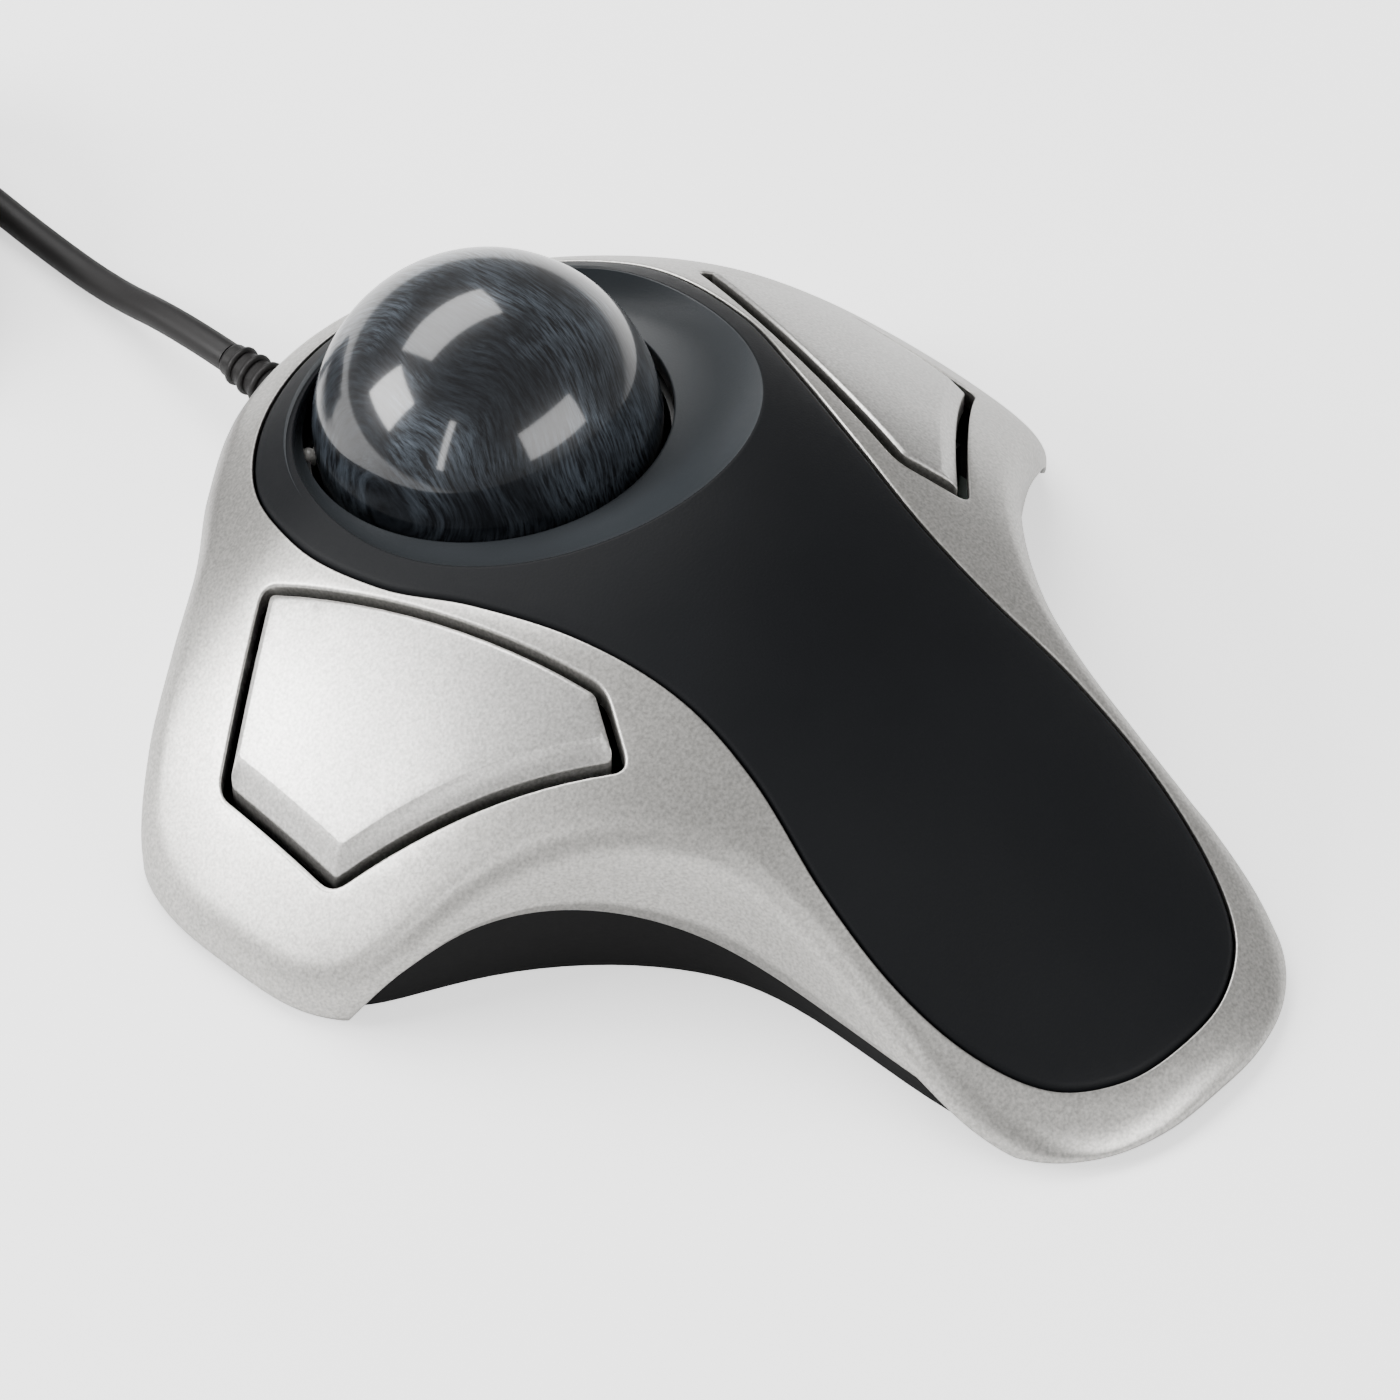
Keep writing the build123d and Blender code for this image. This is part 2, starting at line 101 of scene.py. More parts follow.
def mix_colours(tree, factor, dark, light):
    """A colour between two, driven by a socket."""
    mix = tree.nodes.new("ShaderNodeMix")
    mix.data_type = "RGBA"
    tree.links.new(factor, mix.inputs[0])
    mix.inputs[6].default_value, mix.inputs[7].default_value = (*dark, 1), (*light, 1)
    return mix.outputs[2]


def spread(tree, socket, low, high, from_low=0.3, from_high=0.7):
    """The socket's value moved into the range low to high."""
    node = add(tree, "ShaderNodeMapRange", [("Value", socket)])
    for index, value in zip((1, 2, 3, 4), (from_low, from_high, low, high)):
        node.inputs[index].default_value = value
    return node.outputs[0]


def moulded(name, dark, light, rough, grain_scale, grain_depth, blotch_scale=60, **sockets):
    """A moulded or painted finish: blotches of colour, uneven roughness and a fine grain."""
    material, tree, shader = finish_nodes(name, **sockets)
    place = add(tree, "ShaderNodeTexCoord").outputs["Object"]
    blotch = add(tree, "ShaderNodeTexNoise", [("Vector", place)], Scale=blotch_scale, Detail=4.0)
    grain = add(tree, "ShaderNodeTexNoise", [("Vector", place)], Scale=grain_scale, Detail=2.0)
    tree.links.new(mix_colours(tree, blotch.outputs[0], dark, light), shader.inputs["Base Color"])
    tree.links.new(spread(tree, blotch.outputs[0], *rough), shader.inputs["Roughness"])
    bump = add(tree, "ShaderNodeBump", [("Height", grain.outputs[0])], Strength=0.35,
               Distance=grain_depth)
    tree.links.new(bump.outputs[0], shader.inputs["Normal"])
    return material


print("material helpers ready")

# %% [markdown]
# Two things repeat on this mouse: the ribs of the strain relief and the case
# screws. Both come from one small Geometry Nodes tree, which copies an object
# onto a row of points, shrinks the copies along the row and turns the result
# into a plain mesh with its material.

# %% The tree that repeats
def repeat_tree():
    """Copies of an object on every point of the modified mesh, shrinking from first to last."""
    tree = bpy.data.node_groups.new("repeat", "GeometryNodeTree")
    for label, kind, way in (("Geometry", "NodeSocketGeometry", "INPUT"),
                             ("Piece", "NodeSocketObject", "INPUT"),
                             ("Last size", "NodeSocketFloat", "INPUT"),
                             ("Steps", "NodeSocketInt", "INPUT"),
                             ("Finish", "NodeSocketMaterial", "INPUT"),
                             ("Geometry", "NodeSocketGeometry", "OUTPUT")):
        tree.interface.new_socket(name=label, in_out=way, socket_type=kind)
    start, end = tree.nodes.new("NodeGroupInput"), tree.nodes.new("NodeGroupOutput")
    info = tree.nodes.new("GeometryNodeObjectInfo")
    index = tree.nodes.new("GeometryNodeInputIndex")
    size = tree.nodes.new("ShaderNodeMapRange")
    size.inputs["From Min"].default_value, size.inputs["To Min"].default_value = 0.0, 1.0
    copies = tree.nodes.new("GeometryNodeInstanceOnPoints")
    real = tree.nodes.new("GeometryNodeRealizeInstances")
    paint = tree.nodes.new("GeometryNodeSetMaterial")
    for source, target in ((start.outputs["Piece"], info.inputs["Object"]),
                           (start.outputs["Geometry"], copies.inputs["Points"]),
                           (info.outputs["Geometry"], copies.inputs["Instance"]),
                           (index.outputs[0], size.inputs["Value"]),
                           (start.outputs["Steps"], size.inputs["From Max"]),
                           (start.outputs["Last size"], size.inputs["To Max"]),
                           (size.outputs[0], copies.inputs["Scale"]),
                           (copies.outputs[0], real.inputs[0]),
                           (real.outputs[0], paint.inputs["Geometry"]),
                           (start.outputs["Finish"], paint.inputs["Material"]),
                           (paint.outputs[0], end.inputs["Geometry"])):
        tree.links.new(source, target)
    return tree


def mesh_object(name, points, faces=()):
    """A smooth object from points in mm and faces."""
    mesh = bmesh.new()
    verts = [mesh.verts.new(Vector(p) * MM) for p in points]
    for face in faces:
        mesh.faces.new([verts[i] for i in face]).smooth = True
    if faces:
        bmesh.ops.remove_doubles(mesh, verts=mesh.verts, dist=1e-7)
        bmesh.ops.recalc_face_normals(mesh, faces=mesh.faces)
    data = bpy.data.meshes.new(name)
    mesh.to_mesh(data)
    mesh.free()
    made = bpy.data.objects.new(name, data)
    bpy.context.scene.collection.objects.link(made)
    return made


def turned(name, profile, axis="Z", around=32):
    """A turned body: the profile (radius, place) in mm spun about the axis, closed at both ends."""
    points, faces = [], []
    for i in range(around):
        c, d = cos(2 * pi * i / around), sin(2 * pi * i / around)
        points += [(q * c, q * d, z) if axis == "Z" else (q * c, z, q * d) for q, z in profile]
    rows = len(profile)
    for i in range(around):
        j = (i + 1) % around
        for k in range(rows if profile[0][0] > 0 else rows - 1):
            m = (k + 1) % rows
            face = [i * rows + k, j * rows + k, j * rows + m, i * rows + m]
            if profile[k][0] == 0:
                face.remove(j * rows + k)
            if profile[m][0] == 0:
                face.remove(j * rows + m)
            faces.append(face)
    for k in (0, rows - 1):
        if profile[k][0] == 0:
            faces = [[k if f % rows == k else f for f in face] for face in faces]
    return mesh_object(name, points, faces)


def repeated(name, spots, one, last_size, material):
    """One plain mesh of copies of an object at spots in mm, made by the tree."""
    made = mesh_object(name, spots)
    row = made.modifiers.new("repeat", "NODES")
    row.node_group = REPEAT
    values = {"Piece": one, "Last size": last_size, "Steps": max(len(spots) - 1, 1),
              "Finish": material}
    for socket in REPEAT.interface.items_tree:
        if socket.in_out == "INPUT" and socket.name in values:
            row[socket.identifier] = values[socket.name]
    solid = bpy.data.meshes.new_from_object(
        made.evaluated_get(bpy.context.evaluated_depsgraph_get()))
    made.modifiers.remove(row)
    made.data = solid
    bpy.data.objects.remove(one)
    print(name, len(spots), "copies,", len(solid.polygons), "faces")
    return made


REPEAT = repeat_tree()

# %% Strain relief
cord_vinyl = moulded("cord_vinyl", (0.008, 0.0075, 0.0075), (0.015, 0.014, 0.014), (0.45, 0.58),
                     2600, 0.00004, 90, Specular_IOR_Level=0.22)
EXIT_HEIGHT, RELIEF_START, RELIEF_END = 8.0, 62.2, 84.0
RIBS, RIB_PITCH, FIRST_RIB, LAST_RIB_SIZE = 6, 2.1, 71.6, 0.8
sleeve = turned("strain_relief_sleeve", [
    (0, RELIEF_START), (4.1, RELIEF_START), (4.2, RELIEF_START + 0.1), (4.2, 64.7), (4.1, 64.8),
    (3.2, 64.8), (3.2, 70.4), (2.55, 70.9), (2.1, 83.6), (2.0, 83.9), (1.85, RELIEF_END),
    (0, RELIEF_END)], "Y")
rib = turned("rib", [(1.9, -0.5), (2.9, -0.5), (3.12, -0.36), (3.2, 0), (3.12, 0.36), (2.9, 0.5),
                     (1.9, 0.5)], "Y")
relief = repeated("ribbed_relief", [(0, FIRST_RIB + RIB_PITCH * i, 0) for i in range(RIBS)],
                  rib, LAST_RIB_SIZE, cord_vinyl)
joined = bmesh.new()
joined.from_mesh(relief.data)
joined.from_mesh(sleeve.data)
bmesh.ops.translate(joined, verts=joined.verts, vec=(0, 0, EXIT_HEIGHT * MM))
joined.to_mesh(relief.data)
joined.free()
bpy.data.objects.remove(sleeve)
relief.data.materials.clear()
relief.data.materials.append(cord_vinyl)
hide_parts("strain_relief")
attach(relief, "housing")
print("strain relief", len(relief.data.polygons), "faces")

# %% [markdown]
# The cord comes before the housing. It leaves a tapered strain relief at the far end, drops to the
# table and runs straight back; the spare length is wound as a neat coil of twelve
# turns, three to a layer, with the plug lying on top. The line is one smooth
# NURBS curve: the free stretches are listed points, and the turns come
# from a loop.

# %% Cord
CORD_RADIUS = 1.9
COIL_CENTRE = Vector((-24.2, 146.0, 0))
COIL_INNER, COIL_OUTER, COIL_FLOOR = 15.3, 26.7, 2.75
LAYERS, TURNS_A_LAYER, POINTS_A_TURN = 4, 3, 16
LEAD = [(0, 84, 8.0), (0.3, 94, 7.2), (1.4, 107, 2.8), (2.2, 122, 1.95), (3.0, 135, 2.1)]
TAIL = [(26.7, 5.5, 15.6), (19.6, 14, 19.2), (8.7, 15.95, 20.2), (-0.9, 10.6, 20.2)]


def coil_points():
    """The turns: layers wound inwards and outwards by turns, each one cord higher."""
    points = []
    steps = TURNS_A_LAYER * POINTS_A_TURN
    for layer in range(LAYERS):
        for step in range(steps):
            share = step / steps
            inwards = share if layer % 2 == 0 else 1 - share
            radius = COIL_OUTER + (COIL_INNER - COIL_OUTER) * inwards
            climb = max(0.0, (share - 1) * TURNS_A_LAYER * 4 + 1)
            height = COIL_FLOOR + 2 * CORD_RADIUS * (layer + (climb if layer < LAYERS - 1 else 0))
            angle = 2 * pi * share * TURNS_A_LAYER
            points.append(COIL_CENTRE + Vector((radius * cos(angle), radius * sin(angle), height)))
    return points


def nurbs_line(name, points):
    """One open NURBS spline through the room between the points, in metres."""
    curve = bpy.data.curves.new(name, "CURVE")
    curve.dimensions = "3D"
    spline = curve.splines.new("NURBS")
    spline.points.add(len(points) - 1)
    for control, point in zip(spline.points, points):
        control.co = (*(Vector(point) * MM), 1)
    spline.order_u = 3
    spline.use_endpoint_u = True
    spline.resolution_u = 6
    piece = bpy.data.objects.new(name, curve)
    bpy.context.scene.collection.objects.link(piece)
    return piece


turns = coil_points()
tail = [COIL_CENTRE + Vector(point) for point in TAIL]
cord = nurbs_line("cord", [Vector(p) for p in LEAD] + turns + tail)
cord.data.bevel_depth = CORD_RADIUS * MM
cord.data.bevel_resolution = 5
cord.data.use_fill_caps = True
bare = bpy.data.objects.new("line", cord.data.copy())
bare.data.bevel_depth = 0
line = bpy.data.meshes.new_from_object(bare)
bpy.data.objects.remove(bare)

cord.data.materials.append(cord_vinyl)
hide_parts("cord_lead", "cord_coil", "cord_tail")
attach(cord, "housing")

# %% [markdown]
# The housing's surface follows a simple rule: a crest that runs from the palm
# end up over the middle and down past the ball, and a drop to both sides that
# grows with the square of the distance. All the outer pieces are cut from this
# one surface, so they stay flush with each other.

# %% The rule of the surface
SPINE = [(-80, -3.0), (-64, 6.2), (-50, 14.2), (-36, 22.5), (-22, 30.2), (-9, 36.0), (3, 39.5),
         (17, 41.0), (31, 40.6), (42, 38.8), (50, 35.2), (60, 29.0), (80, 14.0)]
CROSS_CURVE = 0.0100


def spine_height(y):
    """Height of the crest at x = 0, in mm, on a smooth curve through SPINE."""
    k = max(i for i in range(len(SPINE) - 1) if y >= SPINE[i][0] or i == 0)
    (y1, z1), (y2, z2) = SPINE[k], SPINE[k + 1]
    y0, z0 = SPINE[k - 1] if k > 0 else (2 * y1 - y2, 2 * z1 - z2)
    y3, z3 = SPINE[k + 2] if k + 2 < len(SPINE) else (2 * y2 - y1, 2 * z2 - z1)
    m1, m2 = (z2 - z0) / (y2 - y0), (z3 - z1) / (y3 - y1)
    h = y2 - y1
    t = min(max((y - y1) / h, 0), 1)
    return ((2 * t**3 - 3 * t**2 + 1) * z1 + (t**3 - 2 * t**2 + t) * h * m1
            + (3 * t**2 - 2 * t**3) * z2 + (t**3 - t**2) * h * m2)


def height(point):
    """Height of the housing's surface over a plan point, in mm."""
    return spine_height(point[1]) - CROSS_CURVE * point[0] ** 2


print("crest at the middle", round(spine_height(0), 1), "mm")

# %% Outlines seen from above, in mm: right half, far end first
OUTLINE = [(0, 70), (14, 67.3), (25.5, 60), (34, 53), (43, 48), (51, 43.5), (58, 37.5), (60.8, 30),
           (61.2, 20), (60.4, 11), (57.5, 5.2), (52.3, 1.4), (45.3, -2.3), (39.4, -6.3),
           (34, -11.2), (29.6, -16.6), (26.5, -22.3), (24.9, -29), (24.4, -38), (24.2, -47),
           (23, -56), (20, -62.7), (14.5, -67.3), (7.5, -69.6), (0, -70)]
PANEL = [(0, 64.7), (14, 61.2), (25, 52.2), (29.9, 40), (29.2, 27.4), (25.5, 16.8), (21.4, 4),
         (18.8, -8.5), (18.9, -19), (20.9, -31), (21.2, -42), (19.2, -52), (15, -59.6),
         (8, -63.9), (0, -65)]
STEPS = 10


def closed_curve(half):
    """A smooth closed polyline through the half outline and its mirror image."""
    points = [Vector(p) for p in half] + [Vector((-x, y)) for x, y in reversed(half[1:-1])]
    count, line = len(points), []
    for i in range(count):
        p0, p1, p2, p3 = (points[(i + k) % count] for k in (-1, 0, 1, 2))
        chord = (p2 - p1).length
        m1 = (p2 - p0) * chord / ((p1 - p0).length + chord)
        m2 = (p3 - p1) * chord / ((p3 - p2).length + chord)
        for step in range(STEPS):
            t = step / STEPS
            line.append((2 * t**3 - 3 * t**2 + 1) * p1 + (t**3 - 2 * t**2 + t) * m1
                        + (3 * t**2 - 2 * t**3) * p2 + (t**3 - t**2) * m2)
    return line


def inset(line, distance):
    """The clockwise closed polyline moved inwards by distance."""
    moved = []
    for i, point in enumerate(line):
        along = (line[(i + 1) % len(line)] - line[i - 1]).normalized()
        moved.append(point + Vector((along.y, -along.x)) * distance)
    return moved


def inside(point, line):
    """True if the plan point is inside the closed polyline."""
    hit = False
    for a, b in zip(line, line[1:] + line[:1]):
        if (a[1] > point[1]) != (b[1] > point[1]):
            hit ^= point[0] < (b[0] - a[0]) * (point[1] - a[1]) / (b[1] - a[1]) + a[0]
    return hit


outline, panel_line = closed_curve(OUTLINE), closed_curve(PANEL)
print("outline", len(outline), "points, panel", len(panel_line))

# %% The buttons' pentagon
CORNERS = [(34.6, 40.6), (23.4, -1.2), (27.4, -8.6), (52.6, 12.2), (51.7, 31.0)]
BOWS = [(28.2, 19.8), None, (39.7, 2.4), None, None]
EDGE_POINTS, CORNER_POINTS = 12, 6


def edge_line(start, bow, end):
    """Points along one edge, which bows through its middle point if it has one."""
    start, end = Vector(start), Vector(end)
    middle = Vector(bow) if bow else (start + end) / 2
    control = 2 * middle - (start + end) / 2
    return [(1 - t) ** 2 * start + 2 * t * (1 - t) * control + t * t * end
            for t in (i / EDGE_POINTS for i in range(EDGE_POINTS + 1))]


def crossing(line_a, line_b):
    """Where the end of one edge meets the start of the next, both drawn out straight."""
    a, b = line_a[-1], line_b[0]
    u, v = line_a[-1] - line_a[-2], line_b[1] - line_b[0]
    t = ((b - a).x * v.y - (b - a).y * v.x) / (u.x * v.y - u.y * v.x)
    return a + u * t


def pentagon(side, insets, corner=1.6):
    """A button's closed clockwise outline, each edge moved inwards by its own amount."""
    edges = []
    for i, start in enumerate(CORNERS):
        line = edge_line(start, BOWS[i], CORNERS[(i + 1) % 5])
        moved = []
        for j, point in enumerate(line):
            along = (line[min(j + 1, EDGE_POINTS)] - line[max(j - 1, 0)]).normalized()
            moved.append(point + Vector((-along.y, along.x)) * insets[i])
        edges.append(moved)
    tips = [crossing(edges[i - 1], edges[i]) for i in range(5)]
    points = []
    for i, edge in enumerate(edges):
        first, last = tips[i], tips[(i + 1) % 5]
        shift = lambda t: (1 - t) * (first - edge[0]) + t * (last - edge[-1])
        fitted = [p + shift(j / EDGE_POINTS) for j, p in enumerate(edge)]
        trim = corner / (last - first).length
        kept = [sample(fitted, trim + (1 - 2 * trim) * j / EDGE_POINTS)
                for j in range(EDGE_POINTS + 1)]
        edges[i] = kept
    for i, kept in enumerate(edges):
        before = edges[i - 1][-1]
        for j in range(1, CORNER_POINTS):
            t = j / CORNER_POINTS
            points.append((1 - t) ** 2 * before + 2 * t * (1 - t) * tips[i] + t * t * kept[0])
        points += kept
    if side > 0:
        return points[::-1]
    return [Vector((-p.x, p.y)) for p in points]


def sample(line, share):
    """The point at a share of the polyline's count of steps."""
    place = min(max(share, 0), 0.9999) * (len(line) - 1)
    i = int(place)
    return line[i].lerp(line[i + 1], place - i)


print("pentagon", len(pentagon(1, [0] * 5)), "points")

# %% [markdown]
# A moulded skin is built from rings and one filled region. The rings roll over
# each edge, so that it catches the light like a moulded radius; between them
# the plan is filled with a regular net of points, triangulated and lifted onto
# the surface.

# %% Skins: the filled region
ROW_STEP = 0.866               # rows of an even triangular net, as a share of its step
NET = 1.6                      # distance between the net's points
SLIVER = 0.004                 # twice the area of a triangle too thin to keep
WELD = 0.002                   # points closer than this become one


def fill(border, holes, lift, net=NET, keep_off=0.7):
    """Triangles between a border and holes: (points in 3-D, triangles). Ring points come first."""
    rings = [border] + holes
    flat = [Vector(p[:2]) for ring in rings for p in ring]
    edges, start = [], 0
    for ring in rings:
        edges += [(start + i, start + (i + 1) % len(ring)) for i in range(len(ring))]
        start += len(ring)
    low_x, high_x = min(p.x for p in flat), max(p.x for p in flat)
    low_y, high_y = min(p.y for p in flat), max(p.y for p in flat)
    row, y, on_rings = 0, low_y, len(flat)
    cells = {}
    for p in flat:
        cells.setdefault((int(p.x // 2), int(p.y // 2)), []).append(p)
    while y < high_y:
        x = low_x + (NET / 2 if row % 2 else 0)
        while x < high_x:
            p = Vector((x, y))
            close = any((p - q).length < keep_off for i in (-1, 0, 1) for j in (-1, 0, 1)
                        for q in cells.get((int(x // 2) + i, int(y // 2) + j), ()))
            if not close and inside(p, border) and not any(inside(p, hole) for hole in holes):
                flat.append(p)
            x += net
        y += net * ROW_STEP
        row += 1
    made, _, faces, *_ = delaunay_2d_cdt(flat, edges, [], 0, 1e-6)
    kept = []
    for face in faces:
        a, b, c = (made[i] for i in face)
        centre = (a + b + c) / 3
        sliver = max(face) < on_rings and abs((b - a).cross(c - a)) < SLIVER
        if not sliver and inside(centre, border) and not any(inside(centre, h) for h in holes):
            kept.append(face)
    return [Vector((p.x, p.y, lift(p))) for p in made], kept


def piece(name, parts, *materials):
    """One mesh object from (points, faces, material index) parts in mm."""
    mesh = bmesh.new()
    for points, faces, index in parts:
        verts = [mesh.verts.new(Vector(p) * MM) for p in points]
        for face in faces:
            corners = [verts[i] for i in face]
            if len(set(corners)) > 2:
                new = mesh.faces.new(corners)
                new.material_index, new.smooth = index, True
    bmesh.ops.remove_doubles(mesh, verts=mesh.verts, dist=WELD * MM)
    bmesh.ops.recalc_face_normals(mesh, faces=mesh.faces)
    data = bpy.data.meshes.new(name)
    mesh.to_mesh(data)
    mesh.free()
    made = bpy.data.objects.new(name, data)
    bpy.context.scene.collection.objects.link(made)
    for material in materials:
        data.materials.append(material)
    print(name, len(data.polygons), "faces")
    return made


def stands_for(made, node, body):
    """The made piece takes the place of one node of the frame, on its body."""
    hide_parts(node)
    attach(made, body)


def strip(rings, index=0, closed=True):
    """Quads between rings of the same count of points, as one part."""
    points = [p for ring in rings for p in ring]
    count = len(rings[0])
    faces = []
    for r in range(len(rings) - 1):
        for i in range(count if closed else count - 1):
            j = (i + 1) % count
            faces.append((r * count + i, r * count + j, (r + 1) * count + j, (r + 1) * count + i))
    return points, faces, index


def at(line, lift):
    """The plan line lifted into 3-D by a height or a rule."""
    return [Vector((p[0], p[1], lift(p) if callable(lift) else lift)) for p in line]


def roll(line_at, radius, steps, surface):
    """Rings that roll over an edge: line_at(d) is the edge's line at inset d."""
    rings = []
    for step in range(steps + 1):
        angle = pi / 2 * step / steps
        drop = radius * (1 - cos(angle))
        rings.append(at(line_at(radius * (1 - sin(angle))), lambda p: surface(p) - drop))
    return rings


print("skin helpers ready")

# %% [markdown]
# Silver paint on a moulded housing has fine metal flakes: a tight grain in the
# colour and in the normal, under a thin clear layer. Base metallic is kept
# well below one, because the flakes lie in a grey binder.

# %% Silver paint
def silver_paint(name, dark, light):
    """Metallic paint: flakes seen as a fine grain, blotches so soft that they barely show."""
    material, tree, shader = finish_nodes(name, Metallic=0.85, Coat_Weight=0.10,
                                          Coat_Roughness=0.22)
    place = add(tree, "ShaderNodeTexCoord").outputs["Object"]
    flake = add(tree, "ShaderNodeTexNoise", [("Vector", place)], Scale=2600.0, Detail=2.0)
    cloud = add(tree, "ShaderNodeTexNoise", [("Vector", place)], Scale=45.0, Detail=3.0)
    tint = mix_colours(tree, spread(tree, flake.outputs[0], 0, 1), dark, light)
    tree.links.new(tint, shader.inputs["Base Color"])
    tree.links.new(spread(tree, cloud.outputs[0], 0.34, 0.42), shader.inputs["Roughness"])
    bump = add(tree, "ShaderNodeBump", [("Height", flake.outputs[0])], Strength=0.22,
               Distance=0.00004)
    tree.links.new(bump.outputs[0], shader.inputs["Normal"])
    return material


silver = silver_paint("silver_paint", (0.35, 0.342, 0.325), (0.56, 0.547, 0.522))
button_silver = silver_paint("button_silver", (0.38, 0.372, 0.358), (0.60, 0.590, 0.570))
soft_touch = moulded("soft_touch", (0.0046, 0.0050, 0.0058), (0.0072, 0.0078, 0.0090), (0.46, 0.56),
                     3400, 0.00005, 40, Specular_IOR_Level=0.10)
# the dish is coloured about four times lighter than the soft-touch panel: partly a satin finish,
# partly painted light standing for the light the concave dish catches from above
dish_satin_and_painted_light = moulded("dish_satin_and_painted_light", (0.020, 0.023, 0.026), (0.029, 0.033, 0.037), (0.38, 0.46),
                     3400, 0.00003, 40, Specular_IOR_Level=0.28)
base_black = moulded("base_black", (0.004, 0.004, 0.0043), (0.008, 0.008, 0.0083), (0.6, 0.7),
                     2200, 0.00006, Specular_IOR_Level=0.12)
print("housing finishes ready")

# %% Top shell
SHELL_ROLL, OPENING_ROLL, SKIN = 2.6, 0.38, 0.5
LIP_Z, ARCH_X, ARCH_HALF, ARCH_TOP = 1.2, 39.0, 19.0, 13.5
LIP_BELOW = 2.6               # the lip keeps at least this far below the surface
ARCH_RADIUS = (ARCH_HALF**2 + ARCH_TOP**2) / (2 * ARCH_TOP)
SIDES = {"left": -1, "right": 1}


def lip(point):
    """Height of the shell's lower edge: low all round, arched between foot and palm."""
    across = abs(abs(point[0]) - ARCH_X)
    if point[1] > 10 or across >= ARCH_HALF:
        return LIP_Z
    arch = ARCH_TOP - ARCH_RADIUS + sqrt(ARCH_RADIUS**2 - across**2)
    return max(LIP_Z, min(arch, height(point) - LIP_BELOW))


def edge_rings(line, surface, radius, steps, depth):
    """Rings that roll from the surface over the housing's outer edge and down to the lip."""
    rings = []
    for step in range(steps + 1):
        angle = pi / 2 * step / steps
        ring = []
        for p, edge in zip(inset(line, radius * (1 - sin(angle))), line):
            room = min(radius * 1.15, 0.8 * (surface(edge) - lip(edge)))
            ring.append(Vector((p.x, p.y, surface(p) - room * (1 - cos(angle)))))
        rings.append(ring)
    last = rings[-1]
    for share in depth:
        rings.append([Vector((p.x, p.y, p.z + (lip(p) - p.z) * share)) for p in last])
    return rings


def opening_rings(line_at, surface, radius, depth):
    """Rings that roll over an opening's edge and a short way down its wall."""
    rings = roll(line_at, radius, 4, surface)
    return rings + [[p + Vector((0, 0, -depth)) for p in rings[-1]]]


def thicken(made, thickness):
    """Gives an open skin its wall, inwards from the outside face."""
    up = sum(f.normal.z * f.area for f in made.data.polygons)
    if up < 0:
        made.data.flip_normals()
    wall = made.modifiers.new("wall", "SOLIDIFY")
    wall.thickness, wall.offset = thickness * MM, -1.0
    depsgraph = bpy.context.evaluated_depsgraph_get()
    solid = bpy.data.meshes.new_from_object(made.evaluated_get(depsgraph))
    made.modifiers.remove(wall)
    made.data = solid
    return made


shell_edge = edge_rings(outline, height, SHELL_ROLL, 7, (0.25, 0.5, 0.75, 1.0))
panel_edge = opening_rings(lambda d: inset(panel_line, -d), height, OPENING_ROLL, 1.6)
window_edges = [opening_rings(lambda d, s=side: pentagon(s, [-d] * 5, 1.8 + d), height,
                              OPENING_ROLL, 2.6) for side in SIDES.values()]
skin = fill(shell_edge[0], [panel_edge[0]] + [rings[0] for rings in window_edges], height)
top_shell = piece("top_shell_skin", [(*skin, 0), strip(shell_edge), strip(panel_edge)]
                  + [strip(rings) for rings in window_edges], silver)
thicken(top_shell, SKIN)
stands_for(top_shell, "top_shell", "housing")

# %% [markdown]
# The centre panel is one soft-touch moulding. A crease, nearly a circle, marks
# where it falls into the concave dish that ends at the ball's opening.

# %% Centre panel and dish
BALL = Vector((0, 40.0, 27.6))
OPENING_RADIUS, OPENING_TILT, OPENING_RISE = 21.2, radians(7.0), 0.9
CREASE_CENTRE_Y, CREASE_X, CREASE_Y = 33.7, 26.3, 26.6
PANEL_GAP, PANEL_ROLL, PANEL_DROP, PANEL_SKIN = 0.3, 0.6, 0.1, 1.0
ROUND = 120
KNEE_SHARE, KNEE_RISE = 0.55, 0.22        # where the dish's wall turns from flat to steep
SHOULDER = 1.012                          # size of the ring just outside the crease


def panel_surface(point):
    """Height of the panel, which lies just below the silver round it."""
    return height(point) - PANEL_DROP


def around(rule):
    """A clockwise ring of points from a rule of the angle."""
    return [rule(-2 * pi * i / ROUND) for i in range(ROUND)]


def opening_point(angle):
    """A point on the edge of the ball's opening, a tilted circle."""
    x, v = OPENING_RADIUS * cos(angle), OPENING_RADIUS * sin(angle)
    return BALL + Vector((x, v * cos(OPENING_TILT), OPENING_RISE - v * sin(OPENING_TILT)))


def crease_point(angle):
    """A point on the crease, nearly a circle, where the panel falls into the dish."""
    p = Vector((CREASE_X * cos(angle), CREASE_CENTRE_Y + CREASE_Y * sin(angle)))
    return Vector((p.x, p.y, panel_surface(p)))


def dish_point(angle, share):
    """A point on the concave wall between the opening, share 0, and the crease, share 1."""
    low, high = opening_point(angle), crease_point(angle)
    knee = low.lerp(high, KNEE_SHARE)
    knee.z = low.z + KNEE_RISE * (high.z - low.z)
    t = share
    return (1 - t) ** 2 * low + 2 * t * (1 - t) * knee + t * t * high


